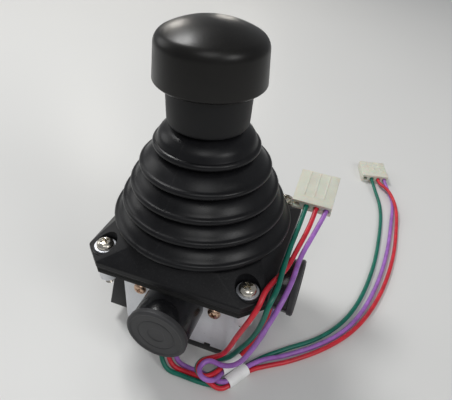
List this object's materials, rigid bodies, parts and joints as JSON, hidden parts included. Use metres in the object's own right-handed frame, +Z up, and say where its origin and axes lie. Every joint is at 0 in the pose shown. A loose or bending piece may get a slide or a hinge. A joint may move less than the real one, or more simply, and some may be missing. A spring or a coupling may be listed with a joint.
{
  "type": "industrial joystick",
  "caption": "Spring-return panel joystick tilting fore-aft and sideways, with mushroom knob, rubber gaiter, potentiometer pods and wired nylon connectors.",
  "frame": {"origin": "on the lever's axis at rest, in the plane of the bezel's mounting face", "axes": "+Z up along the lever at rest, -Y towards the front pod, +X towards the right pod"},
  "size_m": [0.1484, 0.2478, 0.1564],
  "materials": {
    "black_moulding": null,
    "cap_moulding": null,
    "rubber_gaiter": null,
    "rubber_gasket": null,
    "knob_rubber": null,
    "plated_steel": null,
    "zinc_casting": null,
    "bright_steel": null,
    "brass": null,
    "copper_plate": null,
    "track_board": null,
    "white_nylon": null,
    "white_sleeving": null,
    "tin_plate": null,
    "green_wire": null,
    "red_wire": null,
    "purple_wire": null
  },
  "bodies": {
    "base": {"bezel": "black_moulding", "gasket": "rubber_gasket", "bezel_screws": "plated_steel", "bezel_washers": "plated_steel", "casting": "zinc_casting", "base_cover": "black_moulding", "base_screws": "plated_steel", "side_cover": "black_moulding", "rear_cover": "black_moulding", "gaiter": "rubber_gaiter", "bushes": "brass", "cradle_spring": "bright_steel", "yoke_spring": "bright_steel", "front_pod_housing": "black_moulding", "front_pod_cap": "cap_moulding", "front_track": "track_board", "right_pod_housing": "black_moulding", "right_pod_cap": "cap_moulding", "right_track": "track_board", "front_clamp_screws": "copper_plate", "right_clamp_screws": "copper_plate", "front_wire_green": "green_wire", "front_wire_red": "red_wire", "front_wire_purple": "purple_wire", "front_sleeve": "white_sleeving", "front_connector": "white_nylon", "front_terminals": "tin_plate", "right_wire_green": "green_wire", "right_wire_red": "red_wire", "right_wire_purple": "purple_wire", "right_sleeve": "white_sleeving", "right_connector": "white_nylon", "right_terminals": "tin_plate"},
    "cradle": {"cradle": "zinc_casting", "lever_pin": "bright_steel", "right_wiper": "white_nylon"},
    "lever": {"lever_hub": "zinc_casting", "lever_rod": "bright_steel", "boot_hub": "black_moulding", "gaiter_clip": "plated_steel", "knob_insert": "brass", "jam_nut": "plated_steel", "neck_sleeve": "knob_rubber", "knob": "knob_rubber"},
    "yoke": {"yoke": "zinc_casting", "front_wiper": "white_nylon"}
  },
  "joints": [
    {"name": "tilt_fore_aft", "type": "hinge", "parent": "base", "child": "cradle", "pos_m": [0, 0, -0.0198], "axis": [1, 0, 0], "range_deg": [-20, 20], "stiffness_Nm_per_rad": 0.5, "deforming": ["gaiter"]},
    {"name": "tilt_left_right", "type": "hinge", "parent": "cradle", "child": "lever", "pos_m": [0, 0, -0.0198], "axis": [0, 1, 0], "range_deg": [-20, 20], "stiffness_Nm_per_rad": 0.5},
    {"name": "arch_turn", "type": "hinge", "parent": "base", "child": "yoke", "pos_m": [0, 0, -0.0198], "axis": [0, 1, 0], "range_deg": [-20, 20]}
  ],
  "couplings": [
    {"joint": "arch_turn", "follows": "tilt_left_right", "ratio": 1}
  ]
}
